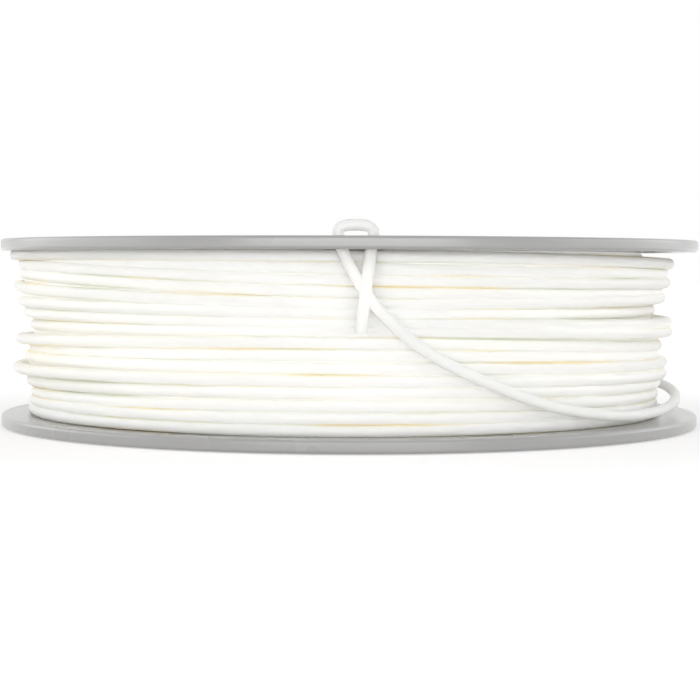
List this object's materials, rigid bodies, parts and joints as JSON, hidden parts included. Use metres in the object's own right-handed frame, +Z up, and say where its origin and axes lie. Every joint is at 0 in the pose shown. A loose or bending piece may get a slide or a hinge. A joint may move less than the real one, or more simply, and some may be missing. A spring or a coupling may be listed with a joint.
{
  "type": "filament spool",
  "caption": "Spool of thick 3d printer filament: two windowed flanges snapped onto a ribbed hub with a through bore, wound full, its free end tied through the upper flange.",
  "frame": {"origin": "centre of the lower flange's outer face, on the spindle axis, where the spool stands", "axes": "+Z up along the spindle axis, from the lower to the upper flange; -Y is the front, where the free end is tied"},
  "size_m": [0.2, 0.2, 0.0561],
  "materials": {
    "spool_plastic": "satin",
    "filament": "satin"
  },
  "bodies": {
    "root": {"lower_flange": "spool_plastic", "upper_flange": "spool_plastic", "hub_core": "spool_plastic", "wound_filament": "filament", "free_end": "filament", "filament_start": "filament"}
  },
  "joints": []
}
